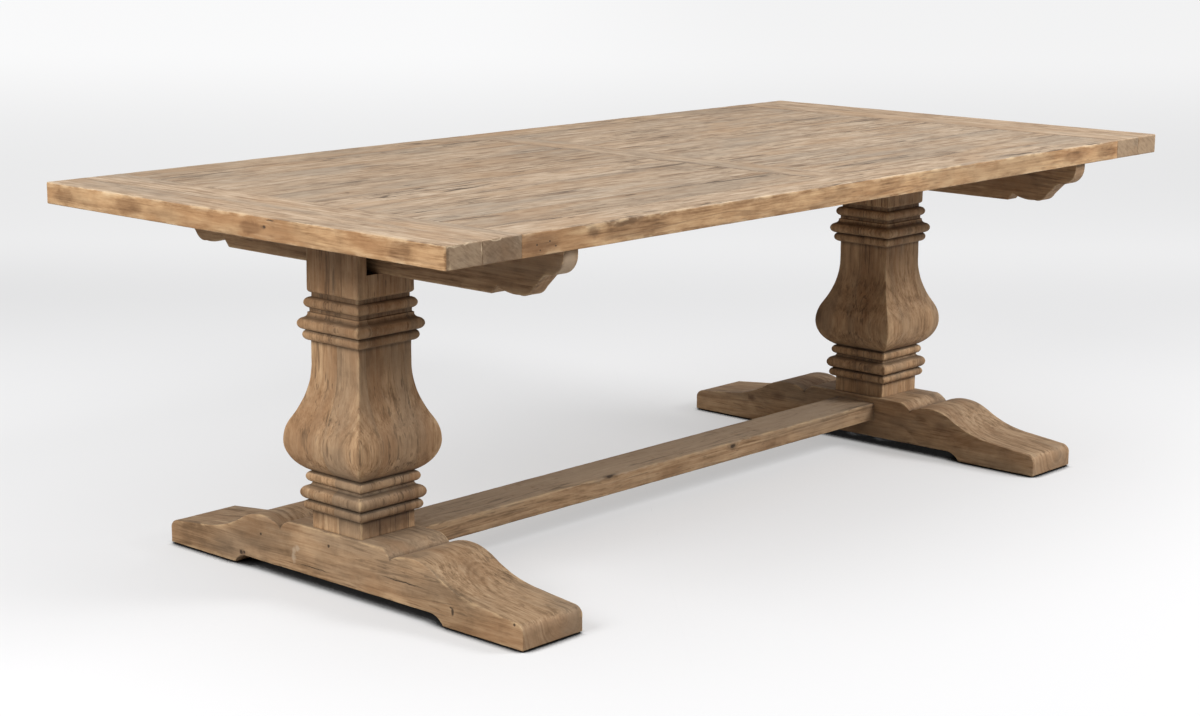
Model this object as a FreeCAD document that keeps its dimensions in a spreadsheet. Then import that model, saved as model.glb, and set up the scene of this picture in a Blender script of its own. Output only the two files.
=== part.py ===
import FreeCAD, Part
import math
import os
import re
import Sketcher

# Trestle dining table in reclaimed wood: a breadboard top on two square baluster pedestals with sledge feet.
# Millimetres. +X runs along the table, the long front edge faces -Y, +Z is up.
# The origin lies on the floor under the middle of the top.

doc = FreeCAD.newDocument("trestle_dining_table")
sheet = doc.addObject("Spreadsheet::Sheet", "Sizes")

SIZES = {
    # Whole table
    "table_height": 780,
    "top_length": 2350,
    "top_width": 1135,
    "trestle_setback": 318,
    # Table top
    "top_thickness": 43,
    "end_outer_width": 85,
    "end_inner_width": 95,
    "side_board_width": 97,
    "centre_board_width": 88,
    "top_corner_radius": 16,
    "top_arris_radius": 5,
    "under_arris_radius": 2,
    "tongue_length": 18,
    "tongue_thickness": 14,
    "tongue_end_gap": 1,
    "tongue_setback": 30,
    # Bearers
    "bearer_setback": 13.5,
    "bearer_depth": 100,
    "bearer_thickness": 40,
    # Pedestals
    "plinth_half": 71,
    "low_bead_root_half": 74,
    "lower_bead_step_half": 76,
    "waist_half": 71,
    "bulb_half": 110,
    "shoulder_half": 97,
    "neck_half": 69,
    "upper_bead_step_half": 75.5,
    "upper_cove_half": 80,
    "upper_fillet_half": 73.5,
    "upper_waist_half": 70.5,
    "head_recess_half": 67.5,
    "head_half": 73.5,
    "core_half": 50,
    "stave_seam_offset": 7,
    "pedestal_tenon_depth": 45,
    # Feet and pads
    "foot_length": 1027,
    "foot_width": 160,
    "foot_height": 118,
    "arch_height": 19,
    "pad_thickness": 3,
    "pad_inset": 10,
    # Stretcher
    "stretcher_width": 112,
    "stretcher_thickness": 42,
    "stretcher_drop": 14,
    "stretcher_shoulder": 8,
    "stretcher_tenon_depth": 42,
    "mortise_wall": 8,
    # Fixings
    "screw_diameter": 6,
    "screw_head_diameter": 12,
    "screw_head_height": 4,
    "screw_grip": 35,
    "screw_tip_cover": 15,
    "screw_hole_play": 2,
    "coach_diameter": 10,
    "coach_head_diameter": 18,
    "coach_head_height": 7,
    "coach_head_cover": 7,
    "coach_spacing": 84,
    "coach_bite": 65,
    "counterbore_play": 4,
    "peg_diameter": 10,
    "peg_spacing": 44,
    "peg_end_gap": 2,
    # One overrun serves all cuts
    "cut_overrun": 5,
}

for row, (alias, value) in enumerate(SIZES.items(), start=1):
    sheet.set("A%d" % row, alias)
    sheet.set("B%d" % row, str(value))
    sheet.setAlias("B%d" % row, alias)
doc.recompute()

ALIAS_PATTERN = re.compile(r"\b(%s)\b" % "|".join(SIZES))

# Heights and places that several pieces share, as formulas of the sheet's sizes
TOP_UNDERSIDE = "(table_height - top_thickness)"
FOOT_TOP = "(pad_thickness + foot_height)"
ARCH_TOP = "(pad_thickness + arch_height)"
PEDESTAL_HEIGHT = f"({TOP_UNDERSIDE} - {FOOT_TOP})"
SLOT_FLOOR = f"({TOP_UNDERSIDE} - bearer_depth)"
HALF_LENGTH = "(top_length / 2)"
HALF_WIDTH = "(top_width / 2)"
TRESTLE_OFFSET = f"({HALF_LENGTH} - trestle_setback)"
FIELD_END = f"({HALF_LENGTH} - end_outer_width - end_inner_width)"
FIELD_HALF_WIDTH = f"({HALF_WIDTH} - side_board_width)"
BEARER_LENGTH = "(top_width - 2 * bearer_setback)"
TONGUE_BOTTOM = f"({TOP_UNDERSIDE} + (top_thickness - tongue_thickness) / 2)"
TONGUE_REACH = "(tongue_length - tongue_end_gap)"
TONGUE_EDGE = f"({HALF_WIDTH} - tongue_setback)"
CENTRE_TONGUE_WIDTH = "(centre_board_width - 2 * tongue_length)"
STRETCHER_TOP = f"({FOOT_TOP} - stretcher_drop)"
STRETCHER_BOTTOM = f"({STRETCHER_TOP} - stretcher_thickness)"
STRETCHER_HALF = f"({TRESTLE_OFFSET} - foot_width / 2)"

# Share of the bay's width that each plank takes, from the front edge to the back
NEAR_PLANK_SHARES = (0.116, 0.123, 0.119, 0.121, 0.135, 0.125, 0.128, 0.133)
FAR_PLANK_SHARES = (0.131, 0.118, 0.126, 0.114, 0.139, 0.121, 0.129, 0.122)

# Outlines below list their right half from the bottom up. A corner's bulge share belongs to the arc that
# arrives at it: the rise over the chord, outwards positive.

# Corbelled end of a bearer: share of the half length, share of the depth below the top, bulge share
BEARER_END_SHARES = (
    (0.675, 1.00, 0.00),
    (0.700, 0.84, 0.00),
    (0.806, 0.94, 0.07),
    (0.863, 0.80, 0.17),
    (0.905, 0.57, 0.00),
    (0.941, 0.50, -0.12),
    (0.998, 0.16, 0.18),
    (1.000, 0.00, 0.00),
)

# Foot from the toe up to the notch beside the pedestal: shares of the half length and the height, bulge share
FOOT_SHARES = (
    (1.000, 0.000, 0.00),
    (1.000, 0.272, 0.00),
    (0.961, 0.424, 0.19),
    (0.760, 0.517, 0.00),
    (0.556, 0.805, -0.05),
    (0.312, 0.855, 0.135),
    (0.259, 1.000, 0.08),
)
# Shares of the foot's half length at which its arch ends and the toe's flat begins, and the arc between them
ARCH_END_SHARE = 0.532
TOE_START_SHARE = 0.594
ARCH_BULGE_SHARE = -0.10

# Rise of a quarter circle over its chord
QUARTER_BULGE_SHARE = (math.sqrt(2) - 1) / 2

# Square baluster from the foot up: half width, share of the pedestal's height, bulge share
BALUSTER_SHARES = (
    ("plinth_half", 0.000, 0.00),
    ("plinth_half", 0.058, 0.00),
    ("low_bead_root_half", 0.093, 0.51),
    ("lower_bead_step_half", 0.139, 0.47),
    ("waist_half", 0.150, -0.15),
    ("waist_half", 0.186, 0.41),
    ("bulb_half", 0.286, 0.14),
    ("shoulder_half", 0.364, 0.07),
    ("neck_half", 0.530, -0.06),
    ("neck_half", 0.608, 0.00),
    ("upper_bead_step_half", 0.643, 0.38),
    ("upper_cove_half", 0.682, 0.43),
    ("upper_fillet_half", 0.694, -0.15),
    ("upper_fillet_half", 0.699, 0.00),
    ("upper_waist_half", 0.701, 0.00),
    ("upper_waist_half", 0.712, 0.00),
    ("head_recess_half", 0.748, 0.43),
    ("head_recess_half", 0.761, 0.00),
    ("head_half", 0.773, 0.20),
    ("head_half", 1.000, 0.00),
)

# Shares of a bearer's half length at which the screws up into the top stand
SCREW_PLACE_SHARES = (-0.74, -0.52, -0.33, -0.155, 0.155, 0.33, 0.52, 0.74)

# Share of the top's thickness within which two places count as the same
TOLERANCE_SHARE = 0.001

# The near trestle stands as drawn; the far one is the same unit turned half round
HALF_TURN = 180
TRESTLES = (("near", -1, 0), ("far", 1, HALF_TURN))
UP = FreeCAD.Vector(0, 0, 1)

sub_parts = []


def with_sheet(formula):
    """Write a formula of bare aliases as one that other objects understand."""
    return ALIAS_PATTERN.sub(r"Sizes.\1", formula)


def number(formula):
    """Value that a formula of aliases has now."""
    return float(sheet.evalExpression(with_sheet(formula)))


def close(place, formula):
    """Whether a place lies where a formula says."""
    return abs(place - number(formula)) < TOLERANCE_SHARE * number("top_thickness")


def bind(piece, name, formula):
    """Tie a property of a piece to the sheet."""
    piece.setExpression(name, with_sheet(formula))


def place(piece, corner):
    """Tie the place of a piece, given as three formulas, to the sheet."""
    for axis, formula in zip("xyz", corner):
        bind(piece, "Placement.Base." + axis, formula)


def finish(piece, label):
    """Name a finished sub-part."""
    piece.Label = label
    sub_parts.append(piece)
    return piece


def box(name, corner, extent):
    """Block from its low corner and its three extents, all formulas."""
    block = doc.addObject("Part::Box", name)
    for side, formula in zip(("Length", "Width", "Height"), extent):
        bind(block, side, formula)
    place(block, corner)
    return block


def centred_box(name, centre, extent):
    """Block given by the middle of its bottom and its three extents."""
    across, along, bottom = centre
    corner = (f"{across} - ({extent[0]}) / 2", f"{along} - ({extent[1]}) / 2", bottom)
    return box(name, corner, extent)


def rod(name, centre, diameter, height):
    """Upright cylinder given by the middle of its bottom."""
    cylinder = doc.addObject("Part::Cylinder", name)
    bind(cylinder, "Radius", f"({diameter}) / 2")
    bind(cylinder, "Height", height)
    place(cylinder, centre)
    return cylinder


def fuse(name, shapes):
    joined = doc.addObject("Part::MultiFuse", name)
    joined.Shapes = shapes
    return joined


def group(name, shapes):
    """Several separate solids kept as one object."""
    collected = doc.addObject("Part::Compound", name)
    collected.Links = shapes
    return collected


def cut(name, base, tools):
    """Cut one or more tools out of a base."""
    result = base
    for count, tool in enumerate(tools, start=1):
        step = doc.addObject("Part::Cut", "%s_cut_%d" % (name, count))
        step.Base = result
        step.Tool = tool
        result = step
    return result


def common(name, shapes):
    shared = doc.addObject("Part::MultiCommon", name)
    shared.Shapes = shapes
    return shared


def copy_at(name, piece):
    """Second object with the same shape, which can be placed by itself."""
    return group(name, [piece])


def stand_at_trestle(piece, side, turn):
    """Place a piece drawn about a trestle's own axis at the near (-1) or far (+1) trestle."""
    piece.Placement = FreeCAD.Placement(FreeCAD.Vector(), FreeCAD.Rotation(UP, turn))
    bind(piece, "Placement.Base.x", f"{side} * {TRESTLE_OFFSET}")


def draw_outline(sketch, corners):
    """Draw a closed outline, anticlockwise, through corners of (across, up, bulge share)."""
    edges = []
    ends = []
    rules = []
    bound = {}
    points = [FreeCAD.Vector(number(across), number(up), 0) for across, up, bulge in corners]
    for index, (across, up, bulge) in enumerate(corners):
        start, end = points[index - 1], points[index]
        if bulge == 0:
            edges.append(Part.LineSegment(start, end))
            ends.append((1, 2))
            continue
        chord = end - start
        outward = FreeCAD.Vector(chord.y, -chord.x, 0)
        edges.append(Part.Arc(start, (start + end) / 2 + outward * bulge, end))
        ends.append((1, 2) if bulge > 0 else (2, 1))
        rules.append(Sketcher.Constraint("Angle", index, 4 * math.atan(2 * abs(bulge))))
    for index, (across, up, bulge) in enumerate(corners):
        following = (index + 1) % len(corners)
        last = ends[index][1]
        rules.append(Sketcher.Constraint("Coincident", index, last, following, ends[following][0]))
        for kind, formula in (("DistanceX", across), ("DistanceY", up)):
            bound[len(rules)] = formula
            rules.append(Sketcher.Constraint(kind, -1, 1, index, last, number(formula)))
    sketch.addGeometry(edges)
    sketch.addConstraint(rules)
    for rule, formula in bound.items():
        bind(sketch, "Constraints[%d]" % rule, formula)


def mirrored(half):
    """Close a half outline, listed from the bottom up on the right, with its mirror image on the left."""
    left = []
    bulge_back = 0
    for across, up, bulge in reversed(half):
        left.append((f"-({across})", up, bulge_back))
        bulge_back = bulge
    return list(half) + left


def padded_outline(name, plane_role, corners, depth):
    """Body with one sketch on an origin plane, padded evenly to both sides."""
    body = doc.addObject("PartDesign::Body", name)
    sketch = body.newObject("Sketcher::SketchObject", name + "_outline")
    plane = next(part for part in body.Origin.OriginFeatures if part.Role == plane_role)
    sketch.AttachmentSupport = (plane, [""])
    sketch.MapMode = "FlatFace"
    draw_outline(sketch, corners)
    doc.recompute()
    pad = body.newObject("PartDesign::Pad", name + "_pad")
    pad.Profile = sketch
    pad.SideType = "Symmetric"
    bind(pad, "Length", depth)
    body.Tip = pad
    return body


def soften(name, board, outer):
    """Round the arrises of a board's outer faces: outer(point) says whether a point lies on one of them."""
    doc.recompute()
    arrises = (("table_height", "top_arris_radius"), (TOP_UNDERSIDE, "under_arris_radius"))
    edges = []
    for index, edge in enumerate(board.Shape.Edges, start=1):
        middle = edge.valueAt((edge.FirstParameter + edge.LastParameter) / 2)
        spots = [vertex.Point for vertex in edge.Vertexes] + [middle]
        for level, radius in arrises:
            if outer(middle) and all(close(spot.z, level) for spot in spots):
                edges.append((index, number(radius), number(radius)))
    rounded = doc.addObject("Part::Fillet", name)
    rounded.Base = board
    rounded.Edges = edges
    return rounded


def on_long_edge(point):
    """Whether a point lies on one of the top's two long outer faces."""
    return close(abs(point.y), HALF_WIDTH)


def make_end_outer_board():
    """Outermost cross board of the far end, with rounded corners."""
    joint = f"({HALF_LENGTH} - end_outer_width)"
    corner_x = f"({HALF_LENGTH} - top_corner_radius)"
    corner_y = f"({HALF_WIDTH} - top_corner_radius)"
    corners = [
        (joint, f"-{HALF_WIDTH}", 0),
        (corner_x, f"-{HALF_WIDTH}", 0),
        (HALF_LENGTH, f"-{corner_y}", QUARTER_BULGE_SHARE),
        (HALF_LENGTH, corner_y, 0),
        (corner_x, HALF_WIDTH, QUARTER_BULGE_SHARE),
        (joint, HALF_WIDTH, 0),
    ]
    blank = padded_outline("end_outer_blank", "XY_Plane", corners, "top_thickness")
    place(blank, ("0", "0", f"{TOP_UNDERSIDE} + top_thickness / 2"))

    def away_from_joint(point):
        return not close(point.x, joint)

    return soften("end_outer_soft", blank, away_from_joint)


def make_end_inner_board():
    """Second cross board of the far end, grooved along its inner edge for the tongues of the field."""
    blank = box(
        "end_inner_blank",
        (FIELD_END, f"-{HALF_WIDTH}", TOP_UNDERSIDE),
        ("end_inner_width", "top_width", "top_thickness"),
    )
    groove = box(
        "end_groove",
        (f"{FIELD_END} - cut_overrun", f"-{TONGUE_EDGE}", TONGUE_BOTTOM),
        ("tongue_length + cut_overrun", f"2 * {TONGUE_EDGE}", "tongue_thickness"),
    )
    return soften("end_inner_soft", cut("end_inner", blank, [groove]), on_long_edge)


def make_side_board(prefix, side, trestle_screws):
    """Board along one long edge, tongued into the end boards; side is -1 front, +1 back.

    The trestles' screws are cut out of it wherever they reach it.
    """
    low_y = f"-{HALF_WIDTH}" if side < 0 else FIELD_HALF_WIDTH
    blank = box(
        prefix + "_side_blank",
        (f"-{FIELD_END}", low_y, TOP_UNDERSIDE),
        (f"2 * {FIELD_END}", "side_board_width", "top_thickness"),
    )
    tongue_y = f"-{TONGUE_EDGE}" if side < 0 else FIELD_HALF_WIDTH
    tongues = box(
        prefix + "_side_tongues",
        (f"-{FIELD_END} - {TONGUE_REACH}", tongue_y, TONGUE_BOTTOM),
        (f"2 * {FIELD_END} + 2 * {TONGUE_REACH}", "side_board_width - tongue_setback", "tongue_thickness"),
    )
    mortise_y = f"-{FIELD_HALF_WIDTH} - tongue_length" if side < 0 else f"{FIELD_HALF_WIDTH} - cut_overrun"
    mortise = box(
        prefix + "_side_mortise",
        (f"-{CENTRE_TONGUE_WIDTH} / 2", mortise_y, TONGUE_BOTTOM),
        (CENTRE_TONGUE_WIDTH, "tongue_length + cut_overrun", "tongue_thickness"),
    )
    tongued = fuse(prefix + "_side_tongued", [blank, tongues])
    board = cut(prefix + "_side", tongued, [mortise] + trestle_screws)
    finish(soften(prefix + "_side_soft", board, on_long_edge), prefix + "_side_board")


def make_centre_board():
    """Cross board in the middle of the top, grooved along both edges and tongued into the side boards."""
    blank = box(
        "centre_blank",
        ("-centre_board_width / 2", f"-{FIELD_HALF_WIDTH}", TOP_UNDERSIDE),
        ("centre_board_width", f"2 * {FIELD_HALF_WIDTH}", "top_thickness"),
    )
    tongues = box(
        "centre_tongues",
        (f"-{CENTRE_TONGUE_WIDTH} / 2", f"-{FIELD_HALF_WIDTH} - {TONGUE_REACH}", TONGUE_BOTTOM),
        (CENTRE_TONGUE_WIDTH, f"2 * {FIELD_HALF_WIDTH} + 2 * {TONGUE_REACH}", "tongue_thickness"),
    )
    grooves = []
    for name, groove_x in (
        ("centre_near_groove", "-centre_board_width / 2 - cut_overrun"),
        ("centre_far_groove", "centre_board_width / 2 - tongue_length"),
    ):
        grooves.append(
            box(
                name,
                (groove_x, f"-{FIELD_HALF_WIDTH}", TONGUE_BOTTOM),
                ("tongue_length + cut_overrun", f"2 * {FIELD_HALF_WIDTH}", "tongue_thickness"),
            )
        )
    finish(cut("centre", fuse("centre_tongued", [blank, tongues]), grooves), "centre_cross_board")


def make_planks(prefix, side, shares, screws):
    """One bay of planks, tongued at both ends, with the holes of the trestle's screws."""
    low_x = f"-{FIELD_END}" if side < 0 else "centre_board_width / 2"
    length = f"({FIELD_END} - centre_board_width / 2)"
    passed = 0
    for count, share in enumerate(shares, start=1):
        low_y = f"-{FIELD_HALF_WIDTH} + {passed} * 2 * {FIELD_HALF_WIDTH}"
        width = f"{share} * 2 * {FIELD_HALF_WIDTH}"
        name = "%s_bay_plank_%d" % (prefix, count)
        blank = box(name + "_blank", (low_x, low_y, TOP_UNDERSIDE), (length, width, "top_thickness"))
        tongues = box(
            name + "_tongues",
            (f"{low_x} - {TONGUE_REACH}", low_y, TONGUE_BOTTOM),
            (f"{length} + 2 * {TONGUE_REACH}", width, "tongue_thickness"),
        )
        finish(cut(name, fuse(name + "_tongued", [blank, tongues]), [screws]), name)
        passed = round(passed + share, 6)


def make_bearer_blank():
    """Bearer with corbelled ends, drawn from end to end and padded to its thickness."""
    half = []
    for along, down, bulge in BEARER_END_SHARES:
        half.append((f"{along} * {BEARER_LENGTH} / 2", f"{TOP_UNDERSIDE} - {down} * bearer_depth", bulge))
    return padded_outline("bearer_blank", "YZ_Plane", mirrored(half), "bearer_thickness")


def make_foot_blank():
    """Sledge foot with arch and toes below and a notched, swept top, padded to its width."""
    half = [
        (f"{ARCH_END_SHARE} * foot_length / 2", ARCH_TOP, 0),
        (f"{TOE_START_SHARE} * foot_length / 2", "pad_thickness", ARCH_BULGE_SHARE),
    ]
    for along, up, bulge in FOOT_SHARES:
        half.append((f"{along} * foot_length / 2", f"pad_thickness + {up} * foot_height", bulge))
    return padded_outline("foot_blank", "YZ_Plane", mirrored(half), "foot_width")


def make_baluster():
    """Square baluster: the same outline padded along X and along Y, and what the two have in common."""
    half = []
    for across, up, bulge in BALUSTER_SHARES:
        half.append((across, f"{FOOT_TOP} + {up} * {PEDESTAL_HEIGHT}", bulge))
    depth = "2 * bulb_half + cut_overrun"
    front = padded_outline("baluster_front", "XZ_Plane", mirrored(half), depth)
    flank = padded_outline("baluster_flank", "YZ_Plane", mirrored(half), depth)
    return common("baluster", [front, flank])


def screw_set(name, places, head_bottom, head_size, shank_size):
    """Group of upright screws, each a head with a shank standing on it; sizes are (diameter, height)."""
    screws = []
    for count, (across, along) in enumerate(places, start=1):
        head = rod("%s_head_%d" % (name, count), (across, along, head_bottom), head_size[0], head_size[1])
        shank_foot = (across, along, f"{head_bottom} + {head_size[1]}")
        shank = rod("%s_shank_%d" % (name, count), shank_foot, shank_size[0], shank_size[1])
        screws.append(fuse("%s_%d" % (name, count), [head, shank]))
    return group(name, screws)


def rod_set(name, places, bottom, diameter, height):
    """Group of equal upright cylinders."""
    rods = []
    for count, (across, along) in enumerate(places, start=1):
        rods.append(rod("%s_%d" % (name, count), (across, along, bottom), diameter, height))
    return group(name, rods)


# Fixings, drawn about a trestle's own axis with the middle of the table towards +X
SCREW_PLACES = [("0", f"{share} * {BEARER_LENGTH} / 2") for share in SCREW_PLACE_SHARES]
COACH_PLACES = [("0", "-coach_spacing / 2"), ("0", "coach_spacing / 2")]
PEG_X = "(foot_width / 2 - stretcher_tenon_depth / 2)"
PEG_PLACES = [(PEG_X, "-peg_spacing / 2"), (PEG_X, "peg_spacing / 2")]
SCREW_SEAT = f"({TOP_UNDERSIDE} - screw_grip)"
COUNTERBORE_DIAMETER = "(coach_head_diameter + counterbore_play)"
COUNTERBORE_DEPTH = "(coach_head_height + coach_head_cover)"
BEARER_COACH_SEAT = f"({TOP_UNDERSIDE} - {COUNTERBORE_DEPTH})"
FOOT_COACH_SEAT = f"({ARCH_TOP} + {COUNTERBORE_DEPTH})"
BEARER_COACH_LENGTH = f"(bearer_depth - {COUNTERBORE_DEPTH} + coach_bite)"
FOOT_COACH_LENGTH = f"({FOOT_TOP} - {FOOT_COACH_SEAT} + coach_bite)"
STRETCHER_TENON_BOTTOM = f"({STRETCHER_BOTTOM} + stretcher_shoulder)"
STRETCHER_TENON_HEIGHT = "(stretcher_thickness - 2 * stretcher_shoulder)"
STRETCHER_TENON_WIDTH = "(stretcher_width - 2 * stretcher_shoulder)"
PEDESTAL_TENON_WIDTH = "(foot_width - 2 * (stretcher_tenon_depth + mortise_wall))"
PEG_LENGTH = f"({STRETCHER_TENON_BOTTOM} + {STRETCHER_TENON_HEIGHT} - {ARCH_TOP} - peg_end_gap)"

top_screws = screw_set(
    "top_screws",
    SCREW_PLACES,
    f"{SCREW_SEAT} - screw_head_height",
    ("screw_head_diameter", "screw_head_height"),
    ("screw_diameter", "screw_grip + top_thickness - screw_tip_cover"),
)
foot_coach_screws = screw_set(
    "foot_coach_screws",
    COACH_PLACES,
    f"{FOOT_COACH_SEAT} - coach_head_height",
    ("coach_head_diameter", "coach_head_height"),
    ("coach_diameter", FOOT_COACH_LENGTH),
)
bearer_coach_shanks = rod_set(
    "bearer_coach_shanks",
    COACH_PLACES,
    f"{BEARER_COACH_SEAT} - {BEARER_COACH_LENGTH}",
    "coach_diameter",
    BEARER_COACH_LENGTH,
)
bearer_coach_heads = rod_set(
    "bearer_coach_heads", COACH_PLACES, BEARER_COACH_SEAT, "coach_head_diameter", "coach_head_height"
)
bearer_coach_screws = fuse("bearer_coach_screws", [bearer_coach_shanks, bearer_coach_heads])
stretcher_pegs = rod_set("stretcher_pegs", PEG_PLACES, ARCH_TOP, "peg_diameter", PEG_LENGTH)

# Bearer with its screw holes: counterbored from below for the top, from above for the pedestal
screw_clearance_holes = rod_set(
    "screw_clearance_holes",
    SCREW_PLACES,
    SCREW_SEAT,
    "screw_diameter + screw_hole_play",
    "screw_grip + cut_overrun",
)
screw_counterbores = rod_set(
    "screw_counterbores",
    SCREW_PLACES,
    f"{SLOT_FLOOR} - cut_overrun",
    "screw_head_diameter + counterbore_play",
    "bearer_depth - screw_grip + cut_overrun",
)
bearer_counterbores = rod_set(
    "bearer_counterbores",
    COACH_PLACES,
    BEARER_COACH_SEAT,
    COUNTERBORE_DIAMETER,
    f"{COUNTERBORE_DEPTH} + cut_overrun",
)
bearer = cut(
    "bearer",
    make_bearer_blank(),
    [screw_clearance_holes, screw_counterbores, bearer_counterbores, bearer_coach_shanks],
)

# Pedestal: a core that stops at the slot floor, between staves that rise past the bearer
baluster = make_baluster()
core_band = centred_box(
    "core_band",
    ("0", "0", FOOT_TOP),
    ("2 * core_half", "2 * bulb_half + cut_overrun", f"{SLOT_FLOOR} - {FOOT_TOP}"),
)
pedestal_tenon = centred_box(
    "pedestal_tenon",
    ("0", "0", f"{FOOT_TOP} - pedestal_tenon_depth"),
    (PEDESTAL_TENON_WIDTH, PEDESTAL_TENON_WIDTH, "pedestal_tenon_depth"),
)
core_column = common("core_column", [baluster, core_band])
pedestal_core = cut(
    "pedestal_core",
    fuse("core_tenoned", [core_column, pedestal_tenon]),
    [bearer_coach_shanks, foot_coach_screws],
)


def make_stave(name, across_side, along_side):
    """Quarter of the pedestal's cheeks: across_side -1 outer, +1 inner; along_side -1 right, +1 left."""
    reach = "(bulb_half + cut_overrun)"
    low_x = "core_half" if across_side > 0 else f"-{reach}"
    low_y = "-stave_seam_offset" if along_side > 0 else f"-{reach}"
    width = f"{reach} + stave_seam_offset" if along_side > 0 else f"{reach} - stave_seam_offset"
    band = box(name + "_band", (low_x, low_y, FOOT_TOP), (f"{reach} - core_half", width, PEDESTAL_HEIGHT))
    return common(name, [baluster, band])


# Left and right are as seen from the trestle's own end of the table, looking towards the middle
staves = {
    "outer_right_stave": make_stave("outer_right_stave", -1, -1),
    "outer_left_stave": make_stave("outer_left_stave", -1, 1),
    "inner_right_stave": make_stave("inner_right_stave", 1, -1),
    "inner_left_stave": make_stave("inner_left_stave", 1, 1),
}

# Foot with the pedestal's mortise, the stretcher's mortise and the holes of its fixings
pedestal_mortise = centred_box(
    "pedestal_mortise",
    ("0", "0", f"{FOOT_TOP} - pedestal_tenon_depth"),
    (PEDESTAL_TENON_WIDTH, PEDESTAL_TENON_WIDTH, "pedestal_tenon_depth + cut_overrun"),
)
stretcher_mortise = box(
    "stretcher_mortise",
    ("foot_width / 2 - stretcher_tenon_depth", f"-{STRETCHER_TENON_WIDTH} / 2", STRETCHER_TENON_BOTTOM),
    ("stretcher_tenon_depth + cut_overrun", STRETCHER_TENON_WIDTH, STRETCHER_TENON_HEIGHT),
)
foot_counterbores = rod_set(
    "foot_counterbores",
    COACH_PLACES,
    f"{ARCH_TOP} - cut_overrun",
    COUNTERBORE_DIAMETER,
    f"{COUNTERBORE_DEPTH} + cut_overrun",
)
foot = cut(
    "foot",
    make_foot_blank(),
    [pedestal_mortise, stretcher_mortise, foot_counterbores, foot_coach_screws, stretcher_pegs],
)


def make_pad(name, side):
    """Glide pad under one toe, set in from the toe's edges; side is -1 right, +1 left."""
    length = f"(foot_length / 2 * (1 - {TOE_START_SHARE}) - 2 * pad_inset)"
    low_y = f"{TOE_START_SHARE} * foot_length / 2 + pad_inset" if side > 0 else "pad_inset - foot_length / 2"
    return box(
        name,
        ("pad_inset - foot_width / 2", low_y, "0"),
        ("foot_width - 2 * pad_inset", length, "pad_thickness"),
    )


trestle_pieces = {
    "bearer": bearer,
    "pedestal_core": pedestal_core,
    "foot": foot,
    "right_pad": make_pad("right_pad", -1),
    "left_pad": make_pad("left_pad", 1),
    "top_screws": top_screws,
    "bearer_coach_screws": bearer_coach_screws,
    "foot_coach_screws": foot_coach_screws,
    "stretcher_pegs": stretcher_pegs,
}
trestle_pieces.update({"pedestal_" + name: stave for name, stave in staves.items()})

# Both trestles, from the same pieces
placed_screws = {}
for prefix, side, turn in TRESTLES:
    for name, piece in trestle_pieces.items():
        standing = copy_at("%s_%s_placed" % (prefix, name), piece)
        stand_at_trestle(standing, side, turn)
        finish(standing, "%s_%s" % (prefix, name))
        if name == "top_screws":
            placed_screws[prefix] = standing

# Stretcher between the feet, tenoned and pegged into both
stretcher_board = centred_box(
    "stretcher_board",
    ("0", "0", STRETCHER_BOTTOM),
    (f"2 * {STRETCHER_HALF}", "stretcher_width", "stretcher_thickness"),
)
stretcher_tenons = centred_box(
    "stretcher_tenons",
    ("0", "0", STRETCHER_TENON_BOTTOM),
    (f"(2 * {STRETCHER_HALF} + 2 * stretcher_tenon_depth)", STRETCHER_TENON_WIDTH, STRETCHER_TENON_HEIGHT),
)
peg_holes = []
for prefix, side, turn in TRESTLES:
    holes = copy_at(prefix + "_peg_holes", stretcher_pegs)
    stand_at_trestle(holes, side, turn)
    peg_holes.append(holes)
stretcher_tenoned = fuse("stretcher_tenoned", [stretcher_board, stretcher_tenons])
finish(cut("stretcher", stretcher_tenoned, peg_holes), "stretcher")

# Table top: the near end's boards are the far end's turned half round
for name, piece in (("end_outer_board", make_end_outer_board()), ("end_inner_board", make_end_inner_board())):
    finish(piece, "far_" + name)
    turned = copy_at("near_%s_turned" % name, piece)
    turned.Placement = FreeCAD.Placement(FreeCAD.Vector(), FreeCAD.Rotation(UP, HALF_TURN))
    finish(turned, "near_" + name)
make_side_board("front", -1, list(placed_screws.values()))
make_side_board("back", 1, list(placed_screws.values()))
make_centre_board()
make_planks("near", -1, NEAR_PLANK_SHARES, placed_screws["near"])
make_planks("far", 1, FAR_PLANK_SHARES, placed_screws["far"])

# Recompute, check and write every sub-part
doc.recompute()
for item in doc.Objects:
    if "Invalid" in item.State or "Error" in item.State:
        raise RuntimeError("%s failed: %s" % (item.Label, item.State))
os.makedirs("parts", exist_ok=True)
for piece in sub_parts:
    if piece.Shape.isNull() or not piece.Shape.isValid():
        raise RuntimeError("%s has no valid shape" % piece.Label)
for piece in sub_parts:
    piece.Shape.exportStep("parts/%s.step" % piece.Label)
    print("%-32s solids %d volume %.0f" % (piece.Label, len(piece.Shape.Solids), piece.Shape.Volume))
print("%d nodes" % len(sub_parts))
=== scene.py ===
import dataclasses
import functools
import math
import random

import bmesh
import bpy
from mathutils import Color, Matrix, Vector, noise
from mathutils.kdtree import KDTree


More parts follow.
